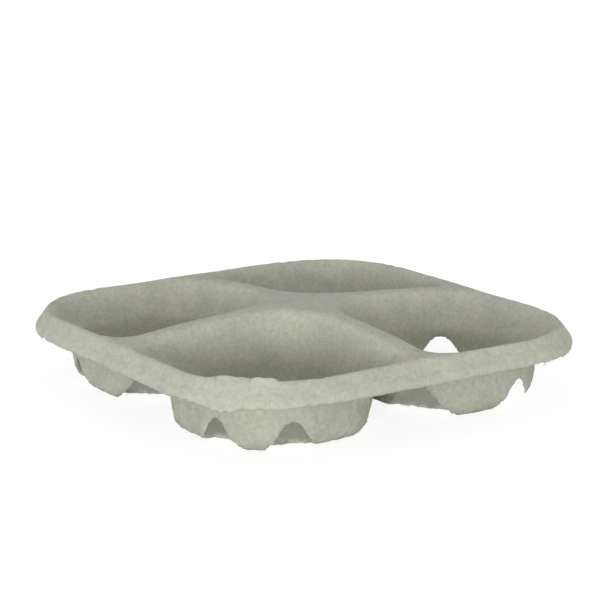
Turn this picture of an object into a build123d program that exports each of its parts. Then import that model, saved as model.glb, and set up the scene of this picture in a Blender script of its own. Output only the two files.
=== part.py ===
"""Four-cup carrier moulded in one piece from paper pulp, in millimetres.

The sheet is the difference of two bodies: everything under its upper face, less
everything under its lower face. The origin is under the middle of the tray, on
the plane that its four feet stand on, and +Z points up.
"""

import os
from math import atan2, cos, radians, sin, sqrt

from build123d import *

# Overall sizes of the tray
tray_width = 212.0
lip_corner_radius = 52.0
lip_height = 25.0
wall = 2.2
overrun = 5.0

# Rim: a vertical lip, a flare above it and a steep face up to the rounded ridge
lip_face = 3.0
lip_bevel = 0.7
flare_rise = 4.0
flare_run = 3.6
steep_rise = 4.0
steep_run = 1.2
ridge_width = 3.6
ridge_radius = 2.0
ridge_angles = (20, 65)

# Crown: the saddles and the hub rise in an S-curve from the ridge to the middle
hub_rise = 6.0
crown_inset = 0.6
crown_foot_share = 0.11

# Wells: square-mouthed funnels with bevelled edges, then steep-walled feet with a round lower edge
saddle_width = 13.0
saddle_end_radius = 12.0
hub_corner_radius = 30.0
well_edge_bevel = 1.6
shoulder_drop = 16.0
shoulder_inset = 5.55
shoulder_corner_radius = 26.0
foot_setback = 3.45
foot_draft = 1.0
foot_edge_radius = 6.0
foot_edge_angles = (90, 40, 0)

# Openings in each well: two low arches beside the outer tongue, two tall ones at the saddles
arch_angle = 25.0
arch_width_share = 0.59
arch_height = 13.5
arch_top_radius = 4.6
side_arch_angle = 100.0
side_arch_width_share = 0.87
side_arch_height = 16.0
side_arch_top_radius = 6.5
arch_floor_share = 0.69

# Heights that follow from them
flare_foot = lip_height + lip_face
flare_top = flare_foot + flare_rise
ridge_height = flare_top + steep_rise
hub_height = ridge_height + hub_rise
block_top = hub_height + overrun
shoulder_height = ridge_height - shoulder_drop

# Plan sizes that follow from them
lip_half = tray_width / 2
corner_centre = lip_half - lip_corner_radius
flare_half = lip_half - flare_run
ridge_outer_half = flare_half - steep_run
ridge_inner_half = ridge_outer_half - ridge_width
crown_reach = ridge_inner_half - crown_inset
mouth_half = (ridge_inner_half - saddle_width / 2) / 2
mouth_centre = (ridge_inner_half + saddle_width / 2) / 2
hub_corner_centre = saddle_width / 2 + hub_corner_radius
foot_centre = mouth_centre - foot_setback
shoulder_half = mouth_half - shoulder_inset
foot_half = shoulder_half - foot_draft
foot_corner_radius = shoulder_corner_radius - foot_draft
arch_width = arch_width_share * foot_half
side_arch_width = side_arch_width_share * foot_half
arch_floor_radius = arch_floor_share * foot_half


def rounded_square(height, low, high, radii):
    """A level square from low to high in X and Y. Its radii go counter-clockwise from its low corner."""
    corners = ((low, low), (high, low), (high, high), (low, high))
    headings = ((0, -1), (1, 0), (0, 1), (-1, 0), (0, -1))
    with BuildSketch(Plane.XY.offset(height)) as section:
        with BuildLine():
            arcs = []
            for corner, heading, next_heading, radius in zip(corners, headings, headings[1:], radii):
                start = Vector(*corner) - Vector(*heading) * radius
                end = Vector(*corner) + Vector(*next_heading) * radius
                arcs.append(TangentArc(start, end, tangent=heading))
            for arc, next_arc in zip(arcs, arcs[1:] + arcs[:1]):
                Line(arc @ 1, next_arc @ 0)
        make_face()
    return section.sketch


def rim_block(inset):
    """The solid inside the rim and under the crown, with its faces set in by a wall or not."""
    flare_drop = inset * (sqrt(2) - 1)
    levels = [
        (lip_height, lip_half),
        (flare_foot - flare_drop, lip_half),
        (flare_top - flare_drop, flare_half),
    ]
    for angle in ridge_angles:
        rise = ridge_radius * (1 - sin(radians(angle)))
        run = ridge_radius * (1 - cos(radians(angle)))
        levels.append((ridge_height - rise, ridge_outer_half - run))
    levels.append((block_top, levels[-1][1]))
    sections = []
    for height, outer_half in levels:
        half = outer_half - inset
        sections.append(rounded_square(height, -half, half, [half - corner_centre] * 4))

    ridge_top = ridge_height - inset
    turn = 2 * atan2(hub_rise, crown_reach)
    dome_radius = (1 - crown_foot_share) * crown_reach / sin(turn)
    dome_edge = (dome_radius * sin(turn), ridge_top + hub_rise - dome_radius * (1 - cos(turn)))
    with BuildPart() as block:
        loft(sections, ruled=True)
        with BuildSketch(Plane.XZ):
            with BuildLine():
                dome = TangentArc((0, ridge_top + hub_rise), dome_edge, tangent=(1, 0))
                TangentArc(dome_edge, (crown_reach, ridge_top), tangent=dome % 1)
                Polyline((crown_reach, ridge_top), (tray_width, ridge_top), (tray_width, 0), (0, 0), dome @ 0)
            make_face()
        revolve(axis=Axis.Z, mode=Mode.INTERSECT)
    return block.part


def well_body(inset, top):
    """One well's body at (+X, +Y): its outer face, or its cavity where it is set in by the wall."""
    edge_radius = foot_edge_radius - inset
    levels = []
    for angle in foot_edge_angles:
        rise = edge_radius * (1 - sin(radians(angle)))
        run = edge_radius * (1 - cos(radians(angle)))
        levels.append((inset + rise, foot_half - run, foot_centre, foot_corner_radius - run))
    shoulder = (shoulder_height, shoulder_half, foot_centre, shoulder_corner_radius)
    mouth = (ridge_height, mouth_half + wall, mouth_centre, saddle_end_radius + wall)
    reach = (top - shoulder_height) / shoulder_drop
    levels.append(shoulder)
    levels.append([low + reach * (high - low) for low, high in zip(shoulder, mouth)])
    sections = []
    for height, outer_half, centre, outer_saddle_corner in levels:
        low = centre - outer_half + inset
        high = centre + outer_half - inset
        saddle_corner = outer_saddle_corner - inset
        radii = (hub_corner_centre - low, saddle_corner, high - corner_centre, saddle_corner)
        sections.append(rounded_square(height, low, high, radii))
    with BuildPart() as well:
        loft(sections, ruled=True)
    return well.part


def arch_cutter(angle, width, height, top_radius):
    """An arched cutter through the wall of the well at (+X, +Y), at an angle from its outward diagonal."""
    bearing = radians(45 + angle)
    facing = (cos(bearing), sin(bearing), 0)
    sideways = (-sin(bearing), cos(bearing), 0)
    wall_plane = Plane((foot_centre, foot_centre, 0), x_dir=sideways, z_dir=facing)
    with BuildPart() as cutter:
        with BuildSketch(wall_plane.offset(arch_floor_radius)):
            with Locations((0, height - top_radius)):
                Circle(top_radius)
            with Locations((0, -overrun / 2)):
                Rectangle(width, overrun)
            make_hull()
        extrude(amount=arch_floor_radius)
    return cutter.part


# The hollow under the sheet: inside the rim and beneath the crown, outside the wells
under_crown = rim_block(wall)
outer_well = well_body(0, block_top)
with BuildPart() as hollow:
    add(under_crown)
    with PolarLocations(0, 4):
        add(outer_well, mode=Mode.SUBTRACT)

# The carrier: rim block and feet, less the cavities, the hollow and the arches
rim = rim_block(0)
foot = well_body(0, flare_foot)
cavity = well_body(wall, block_top)
arches = []
for side in (-1, 1):
    arches.append(arch_cutter(side * arch_angle, arch_width, arch_height, arch_top_radius))
    arches.append(arch_cutter(side * side_arch_angle, side_arch_width, side_arch_height, side_arch_top_radius))
with BuildPart() as cup_carrier:
    add(rim)
    with PolarLocations(0, 4):
        add(foot)
    with PolarLocations(0, 4):
        add(cavity, mode=Mode.SUBTRACT)
    chamfer(cup_carrier.edges(Select.NEW), well_edge_bevel)
    add(hollow.part, mode=Mode.SUBTRACT)
    lip = cup_carrier.faces().filter_by(Plane.XY).sort_by(lambda face: abs(face.center().Z - lip_height))[0]
    chamfer(lip.edges(), lip_bevel)
    with PolarLocations(0, 4):
        add(arches, mode=Mode.SUBTRACT)

cup_carrier.part.label = "cup_carrier"
os.makedirs("parts", exist_ok=True)
export_step(cup_carrier.part, "parts/cup_carrier.step")
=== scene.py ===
"""A carrier tray of moulded paper pulp with four wells, on a white studio floor.

Lengths are in metres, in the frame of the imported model: the feet stand on z = 0 and +Z points up.
"""

from math import atan2, cos, degrees, pi, radians, sin
from random import Random

import bmesh
import bpy
from mathutils import Matrix, Vector, noise
from mathutils.bvhtree import BVHTree


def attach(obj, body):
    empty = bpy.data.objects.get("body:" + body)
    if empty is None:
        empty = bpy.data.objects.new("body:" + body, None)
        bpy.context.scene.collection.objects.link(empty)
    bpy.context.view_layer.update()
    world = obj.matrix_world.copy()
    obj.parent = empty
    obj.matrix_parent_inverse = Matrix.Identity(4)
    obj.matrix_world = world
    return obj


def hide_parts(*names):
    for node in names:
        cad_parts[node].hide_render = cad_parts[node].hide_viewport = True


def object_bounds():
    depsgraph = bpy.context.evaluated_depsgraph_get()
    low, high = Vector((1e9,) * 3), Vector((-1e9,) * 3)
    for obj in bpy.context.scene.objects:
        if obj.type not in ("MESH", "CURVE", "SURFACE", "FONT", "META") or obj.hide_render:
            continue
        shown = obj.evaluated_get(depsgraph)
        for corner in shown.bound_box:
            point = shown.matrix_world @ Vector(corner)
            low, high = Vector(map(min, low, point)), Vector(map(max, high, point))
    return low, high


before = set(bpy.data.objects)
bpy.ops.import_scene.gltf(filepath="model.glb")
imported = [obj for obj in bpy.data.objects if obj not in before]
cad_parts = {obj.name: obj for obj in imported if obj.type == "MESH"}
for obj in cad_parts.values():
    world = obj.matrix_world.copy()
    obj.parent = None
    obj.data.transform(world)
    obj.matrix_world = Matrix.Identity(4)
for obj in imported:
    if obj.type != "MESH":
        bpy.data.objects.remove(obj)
cad_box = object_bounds()

# The tray: one sheet of grey paper pulp, sucked onto a mesh mould as a wet slurry, pressed and dried.
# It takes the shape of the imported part, whose loose triangles are merged. The steps below then tear it,
# soften it, make it uneven and give it its finish.
mm = 0.001
merge_distance = 0.01 * mm


def put_in_scene(name, data):
    """An object at the origin that holds a mesh, a curve, a lamp or a camera."""
    piece = bpy.data.objects.new(name, data)
    bpy.context.scene.collection.objects.link(piece)
    return piece


solid = bmesh.new()
solid.from_mesh(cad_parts["cup_carrier"].data)
bmesh.ops.remove_doubles(solid, verts=solid.verts, dist=merge_distance)
tray_mesh = bpy.data.meshes.new("pulp_tray")
solid.to_mesh(tray_mesh)
solid.free()
tray = put_in_scene("pulp_tray", tray_mesh)

# The tear: the right foot's outer tongue has torn off its floor, and hangs in a pointed strip. A curtain round
# the foot cuts it. Each of its steps is a bearing from the middle of the foot, in degrees, and a height in mm.
tear_steps = (
    (-78, 2), (-63, 2), (-60, 4), (-57, 2.8), (-53, 6.6), (-50.5, 4.8), (-46, 9), (-43.5, 7.6),
    (-39, 12), (-35, 11), (-31.5, 7.4), (-28, 8.4), (-18, 2),
)
last_step = len(tear_steps) - 1
tear_bottom = -2 * mm
tear_inner_reach = 24 * mm
tear_outer_reach = 52 * mm
foot_centre = 48.6 * mm
right_foot = Vector((foot_centre, -foot_centre, 0))


def shown_mesh(piece):
    """A new mesh of the piece as it shows: with its modifiers applied, or a curve with its thickness."""
    return bpy.data.meshes.new_from_object(piece.evaluated_get(bpy.context.evaluated_depsgraph_get()))


def apply_modifiers(piece):
    """Gives the piece the mesh that it shows, and returns it."""
    piece.data = shown_mesh(piece)
    piece.modifiers.clear()
    return piece.data


curtain = bmesh.new()
bmesh.ops.create_grid(curtain, x_segments=last_step, y_segments=1, size=1)
for vert in curtain.verts:
    bearing, height = tear_steps[round((vert.co.x + 1) / 2 * last_step)]
    heading = Vector((cos(radians(bearing)), sin(radians(bearing)), 0))
    level = height * mm if vert.co.y > 0 else tear_bottom
    vert.co = right_foot + heading * tear_inner_reach + Vector((0, 0, level))
outer_side = bmesh.ops.extrude_face_region(curtain, geom=curtain.faces[:])["geom"]
widening = tear_outer_reach / tear_inner_reach
bmesh.ops.scale(
    curtain, vec=(widening, widening, 1), space=Matrix.Translation(-right_foot),
    verts=[part for part in outer_side if isinstance(part, bmesh.types.BMVert)],
)
bmesh.ops.recalc_face_normals(curtain, faces=curtain.faces)
tear_mesh = bpy.data.meshes.new("tear")
curtain.to_mesh(tear_mesh)
curtain.free()
tear = put_in_scene("tear", tear_mesh)
cut = tray.modifiers.new("tear", "BOOLEAN")
cut.operation = "DIFFERENCE"
cut.solver = "EXACT"
cut.object = tear
apply_modifiers(tray)
bpy.data.objects.remove(tear)

# The skin: drying leaves the sheet round-edged, with no sharp line left. A mesh of even cells is drawn over it
# and softened, and crumbs that the tear has cut loose are dropped.
skin_cell = 1.0 * mm
all_softening = 3

skin = tray.modifiers.new("skin", "REMESH")
skin.mode = "VOXEL"
skin.voxel_size = skin_cell
tray_mesh = apply_modifiers(tray)
pulp = bmesh.new()
pulp.from_mesh(tray_mesh)
newly_joined = {max(pulp.verts, key=lambda vert: vert.co.z)}
joined = set()
while newly_joined:
    joined |= newly_joined
    newly_joined = {edge.other_vert(vert) for vert in newly_joined for edge in vert.link_edges} - joined
crumbs = [vert for vert in pulp.verts if vert not in joined]
bmesh.ops.delete(pulp, geom=crumbs, context="VERTS")


def soften(verts, passes):
    """Draws these points of the skin towards their neighbours."""
    for step in range(passes):
        bmesh.ops.smooth_vert(
            pulp, verts=verts, factor=0.5, use_axis_x=True, use_axis_y=True, use_axis_z=True
        )
    pulp.normal_update()


soften(pulp.verts, all_softening)

# Torn edges and undersides: the lip and the arches are torn free of the waste, so only the other faces have
# the mould's softness. A point is on a torn edge where the sheet is too deep behind it for a face. The
# undersides of the feet are rougher than the tops. Both marks are blurred, so the finish changes with no line.
sheet_thickness = 2.2 * mm
torn_depth = 2 * sheet_thickness
first_depth_mm = 0.05
lip_height = 25 * mm
torn_top = lip_height + 1.5 * mm
facing_down = -0.5
mould_softening = 14
standing_height = 1.5 * mm
mark_blurs = 2

torn = pulp.verts.layers.float.new("torn")
underside = pulp.verts.layers.float.new("underside")
sheet = BVHTree.FromBMesh(pulp)
for vert in pulp.verts:
    depth = sheet.ray_cast(vert.co - vert.normal * first_depth_mm * mm, -vert.normal)[3]
    deep = depth is None or depth > torn_depth
    vert[torn] = 1.0 if deep and vert.co.z < torn_top else 0.0
    outward = Vector((abs(vert.co.x) - foot_centre, abs(vert.co.y) - foot_centre))
    side_x = 1 if vert.co.x > 0 else -1
    side_y = 1 if vert.co.y > 0 else -1
    facing = Vector((vert.normal.x * side_x, vert.normal.y * side_y))
    below = vert.co.z < lip_height and (outward.dot(facing) > 0 or vert.normal.z < facing_down)
    vert[underside] = 1.0 if below else 0.0
soften([vert for vert in pulp.verts if vert[torn] == 0 and vert.co.z > standing_height], mould_softening)
for layer in (torn, underside):
    for step in range(mark_blurs):
        means = [sum(e.other_vert(v)[layer] for e in v.link_edges) / len(v.link_edges) for v in pulp.verts]
        for vert, mean in zip(pulp.verts, means):
            vert[layer] = (vert[layer] + mean) / 2

# Unevenness and wear: the dried sheet swells and sinks by a few tenths of a millimetre, and its torn edges are
# ragged, most of all the lip's at the right corner. At the front corner a load has lifted the ridge into a
# ragged flap, and the lip below it sags. Angles are bearings from the middle of the corner's arc, in degrees.
swells_mm = ((24, 0.35, 0.15), (5, 0.12, 0.22), (2.6, 0.04, 0.3))  # wavelength, height, added underneath
rags_mm = ((2.4, 0.45), (7, 0.4))  # wavelength, height
ridge_height = 36 * mm
corner_centre = 54 * mm
ridge_radius = 45.4 * mm
frayed_lip_bottom = lip_height - 2 * mm
frayed_lip_factor = 3
flap_height = 2.4 * mm
flap_root = 6 * mm
flap_half_width = 4 * mm
flap_middle = -137
flap_half_angle = 21
flap_end_slope = 3
flap_mean = 0.8
flap_swing = 0.5
flap_wavelength = 5 * mm
sag_depth = 2.2 * mm
sag_middle = -146
sag_half_angle = 14


def kept_in_box(point):
    """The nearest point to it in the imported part's box."""
    return Vector([min(max(value, low), high) for value, low, high in zip(point, *cad_box)])


def fading(share):
    """1 in the middle of a worn place, where the share is 0, and 0 at its edge, where it is 1."""
    return (1 + cos(pi * share)) / 2


for vert in pulp.verts:
    swell = 0
    for wavelength, height, added in swells_mm:
        swell += (height + added * vert[underside]) * noise.noise(vert.co / (wavelength * mm))
    ragged = 0
    for wavelength, height in rags_mm:
        ragged += height * noise.noise(vert.co / (wavelength * mm))
    ragged *= vert[torn]
    if vert.co.z > frayed_lip_bottom and vert.co.x > corner_centre and vert.co.y < -corner_centre:
        ragged *= frayed_lip_factor
    lift = 0
    corner = Vector((vert.co.x + corner_centre, vert.co.y + corner_centre))
    if corner.x < 0 and corner.y < 0:
        bearing = degrees(atan2(corner.y, corner.x))
        off_flap = abs(bearing - flap_middle) / flap_half_angle
        off_crest = abs(corner.length - ridge_radius) / flap_half_width
        near_top = 1 - (ridge_height - vert.co.z) / flap_root
        if off_flap < 1 and off_crest < 1 and near_top > 0:
            rag = flap_mean + flap_swing * noise.noise(vert.co.xy.to_3d() / flap_wavelength)
            near_middle = min(1, flap_end_slope * (1 - off_flap))
            lift = flap_height * rag * near_top * near_middle * fading(off_crest)
        off_sag = abs(bearing - sag_middle) / sag_half_angle
        under_ridge = (ridge_height - vert.co.z) / (ridge_height - lip_height)
        if off_sag < 1 and under_ridge > 0 and corner.length > ridge_radius:
            lift = -sag_depth * min(1, under_ridge) ** 2 * fading(off_sag)
    vert[torn] = max(vert[torn], lift / flap_height)
    vert.co = kept_in_box(vert.co + vert.normal * (swell + ragged) * mm + Vector((0, 0, lift)))
pulp.normal_update()

# The finish: grey recycled pulp, moulded and left raw. It is dull and open-pored, with a felt of short fibres
# that gives a low mottle, coarser on the underside of the feet and paler where fibres stand up at a torn edge.
# Single fibres are too fine to show, so the finest pattern is drawn as coarse as a small bundle of them.
tray_triangles = 190000
clump_size = 11 * mm
felt_size = 2.2 * mm
bundle_size = 0.7 * mm
relief_depth = 0.5 * mm
pulp_dark = "#A4A598"
pulp_light = "#BDBEAE"
pulp_torn = "#D9DACD"
torn_paleness = 0.35


def linear(hex_colour):
    """An sRGB hex colour as Blender's linear one."""
    channels = [int(hex_colour[i : i + 2], 16) / 255 for i in (1, 3, 5)]
    return (*(c / 12.92 if c <= 0.04045 else ((c + 0.055) / 1.055) ** 2.4 for c in channels), 1)


def add_node(tree, kind, settings=(), inputs=(), links=()):
    """One node with its settings and input values, and a link for each (input, output socket)."""
    node = tree.nodes.new(kind)
    for name, value in dict(settings).items():
        setattr(node, name, value)
    for name, value in dict(inputs).items():
        node.inputs[name].default_value = value
    for name, socket in dict(links).items():
        tree.links.new(socket, node.inputs[name])
    return node


pulp_grey = bpy.data.materials.new("grey_moulded_pulp")
pulp_grey.use_nodes = True
nodes = pulp_grey.node_tree
surface = nodes.nodes["Principled BSDF"]
surface.inputs["Roughness"].default_value = 0.95
surface.inputs["Specular IOR Level"].default_value = 0.15
spot = add_node(nodes, "ShaderNodeTexCoord").outputs["Object"]
torn_mark = add_node(nodes, "ShaderNodeAttribute", {"attribute_name": "torn"}).outputs["Fac"]
under_mark = add_node(nodes, "ShaderNodeAttribute", {"attribute_name": "underside"}).outputs["Fac"]
clumps = add_node(
    nodes, "ShaderNodeTexNoise", inputs={"Scale": 1 / clump_size, "Detail": 3, "Roughness": 0.55},
    links={"Vector": spot},
).outputs["Fac"]
felt = add_node(
    nodes, "ShaderNodeTexNoise", inputs={"Scale": 1 / felt_size, "Detail": 5, "Roughness": 0.65},
    links={"Vector": spot},
).outputs["Fac"]
bundles = add_node(
    nodes, "ShaderNodeTexNoise",
    inputs={"Scale": 1 / bundle_size, "Detail": 3, "Roughness": 0.6, "Distortion": 1.5},
    links={"Vector": spot},
).outputs["Fac"]
coarse = add_node(
    nodes, "ShaderNodeMath", {"operation": "MULTIPLY_ADD"}, {1: 0.5}, {0: clumps, 2: felt}
).outputs[0]
grain = add_node(
    nodes, "ShaderNodeMath", {"operation": "ADD"}, links={0: bundles, 1: coarse}
).outputs[0]
mottle = add_node(
    nodes, "ShaderNodeMapRange", inputs={"From Min": 1.0, "From Max": 1.5}, links={"Value": grain}
).outputs["Result"]
shade = add_node(
    nodes, "ShaderNodeMix", {"data_type": "RGBA"}, {6: linear(pulp_dark), 7: linear(pulp_light)}, {0: mottle}
).outputs[2]
pale = add_node(
    nodes, "ShaderNodeMath", {"operation": "MULTIPLY"}, {1: torn_paleness}, {0: torn_mark}
).outputs[0]
colour = add_node(
    nodes, "ShaderNodeMix", {"data_type": "RGBA"}, {7: linear(pulp_torn)}, {0: pale, 6: shade}
).outputs[2]
nodes.links.new(colour, surface.inputs["Base Color"])
relief = add_node(
    nodes, "ShaderNodeMapRange", inputs={"To Min": 0.35, "To Max": 0.5}, links={"Value": under_mark}
).outputs["Result"]
bump = add_node(
    nodes, "ShaderNodeBump", inputs={"Distance": relief_depth}, links={"Height": grain, "Strength": relief}
).outputs["Normal"]
nodes.links.new(bump, surface.inputs["Normal"])

pulp.to_mesh(tray_mesh)
thinning = tray.modifiers.new("thinning", "DECIMATE")
thinning.ratio = min(1, tray_triangles / sum(len(face.vertices) - 2 for face in tray_mesh.polygons))
tray_mesh = apply_modifiers(tray)
tray_mesh.name = "pulp_tray"
tray_mesh.materials.append(pulp_grey)
for face in tray_mesh.polygons:
    face.use_smooth = True
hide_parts("cup_carrier")
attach(tray, "root")

# The stray fibres: loose ends of the same pulp, which stand out of the torn edges in tufts. Each thread is a
# small bundle, a few millimetres long, because single fibres are too fine to show.
tuft_count = 170
tuft_radius = 3 * mm
tuft_fibres = 8
frayed_mark = 0.7
frayed_top = lip_height + 1 * mm
fibre_radius = 0.11 * mm
fibre_taper = (1, 1, 0.8, 0.35)
fibre_joints = len(fibre_taper) - 1
fibre_lengths_mm = (0.8, 2.8)
fibre_root_mm = 0.3
fibre_spread = 0.9
fibre_curl = 0.5
chance = Random(7)


def any_way():
    """A vector of chance, up to 1 along each axis."""
    return Vector([chance.uniform(-1, 1) for axis in range(3)])


frayed = [vert for vert in pulp.verts if vert[torn] > frayed_mark and vert.co.z < frayed_top]
roots = []
for tuft in chance.sample(frayed, tuft_count):
    near = [vert for vert in frayed if (vert.co - tuft.co).length < tuft_radius]
    roots += chance.sample(near, min(tuft_fibres, len(near)))
threads = bpy.data.curves.new("stray_fibres", "CURVE")
threads.dimensions = "3D"
threads.bevel_depth = fibre_radius
threads.bevel_resolution = 0
threads.use_fill_caps = True
for root in roots:
    length = chance.uniform(*fibre_lengths_mm) * mm
    heading = (root.normal + fibre_spread * any_way()).normalized()
    curl = fibre_curl * any_way()
    place = root.co - heading * fibre_root_mm * mm
    thread = threads.splines.new("POLY")
    thread.points.add(fibre_joints)
    for point, taper in zip(thread.points, fibre_taper):
        point.co = (*place, 1)
        point.radius = taper
        heading = (heading + curl).normalized()
        place = place + heading * length / fibre_joints
pulp.free()
thread_lines = put_in_scene("thread_lines", threads)
fibre_mesh = shown_mesh(thread_lines)
bpy.data.objects.remove(thread_lines)
fibre_mesh.name = "stray_fibres"
fibre_mesh.materials.append(pulp_grey)
for vert in fibre_mesh.vertices:
    vert.co = kept_in_box(vert.co)
fibres = put_in_scene("stray_fibres", fibre_mesh)
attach(fibres, "root")

# The floor: a sweep of white studio paper, wide enough to fill the picture. What the camera sees of it is
# mostly glow, so that it is white and keeps only a faint shadow under the feet.
floor_half = 12.0
floor_white = "#F8F8F8"
floor_glow = 1.1
glow_share = 0.8


def backdrop_rays(tree):
    """1 on the rays that show the backdrop: straight to the camera, or through a mirror or glass."""
    rays = add_node(tree, "ShaderNodeLightPath").outputs
    reflected = add_node(
        tree, "ShaderNodeMath", {"operation": "MAXIMUM"},
        links={0: rays["Is Glossy Ray"], 1: rays["Is Transmission Ray"]},
    ).outputs[0]
    return add_node(
        tree, "ShaderNodeMath", {"operation": "MAXIMUM"}, links={0: rays["Is Camera Ray"], 1: reflected}
    ).outputs[0]


floor_shape = bmesh.new()
bmesh.ops.create_grid(floor_shape, x_segments=1, y_segments=1, size=floor_half)
floor_mesh = bpy.data.meshes.new("studio_floor")
floor_shape.to_mesh(floor_mesh)
floor_shape.free()
floor = put_in_scene("studio_floor", floor_mesh)
white_paper = bpy.data.materials.new("white_studio_paper")
white_paper.use_nodes = True
nodes = white_paper.node_tree
surface = nodes.nodes["Principled BSDF"]
surface.inputs["Base Color"].default_value = linear(floor_white)
surface.inputs["Roughness"].default_value = 0.9
glow = add_node(nodes, "ShaderNodeEmission", inputs={"Strength": floor_glow}).outputs["Emission"]
share = add_node(
    nodes, "ShaderNodeMath", {"operation": "MULTIPLY"}, {1: glow_share}, {0: backdrop_rays(nodes)}
).outputs[0]
mixed = add_node(nodes, "ShaderNodeMixShader", links={0: share, 1: surface.outputs["BSDF"], 2: glow}).outputs[0]
nodes.links.new(mixed, nodes.nodes["Material Output"].inputs["Surface"])
floor_mesh.materials.append(white_paper)

# The light: a wide, low soft box in front of the tray, and a white room that fills the shade. The room looks
# white behind the tray, and lights it with less than that.
room_white = "#FFFFFF"
room_light = 0.72
lamp_place = Vector((-1.36, -1.36, 0.24))
lamp_width = 4.6
lamp_height = 0.4
lamp_power = 34

scene = bpy.context.scene
scene.view_settings.view_transform = "Standard"
room = bpy.data.worlds.new("white_room")
room.use_nodes = True
nodes = room.node_tree
sky = nodes.nodes["Background"]
sky.inputs["Color"].default_value = linear(room_white)
room_level = add_node(
    nodes, "ShaderNodeMath", {"operation": "MULTIPLY_ADD"}, {1: 1 - room_light, 2: room_light},
    {0: backdrop_rays(nodes)},
).outputs[0]
nodes.links.new(room_level, sky.inputs["Strength"])
scene.world = room
soft_box = bpy.data.lights.new("front_soft_box", "AREA")
soft_box.shape = "RECTANGLE"
soft_box.size = lamp_width
soft_box.size_y = lamp_height
soft_box.energy = lamp_power
lamp = put_in_scene("front_soft_box", soft_box)
lamp.location = lamp_place
lamp.rotation_mode = "QUATERNION"
lamp.rotation_quaternion = (-lamp_place).to_track_quat("-Z", "Y")

# The camera: a long lens, a little above the tray and turned to its front corner. Its place was fitted to the
# rim of the tray in the photograph.
camera_place = Vector((-0.5371, -0.7905, 0.2687))
looked_at = Vector((0.0020, 0.0033, 0.0411))
sensor_width = 36.0
focal_length = 125.08

long_lens = bpy.data.cameras.new("camera")
long_lens.sensor_width = sensor_width
long_lens.lens = focal_length
camera = put_in_scene("camera", long_lens)
camera.location = camera_place
camera.rotation_mode = "QUATERNION"
camera.rotation_quaternion = (looked_at - camera_place).to_track_quat("-Z", "Y")
scene.camera = camera
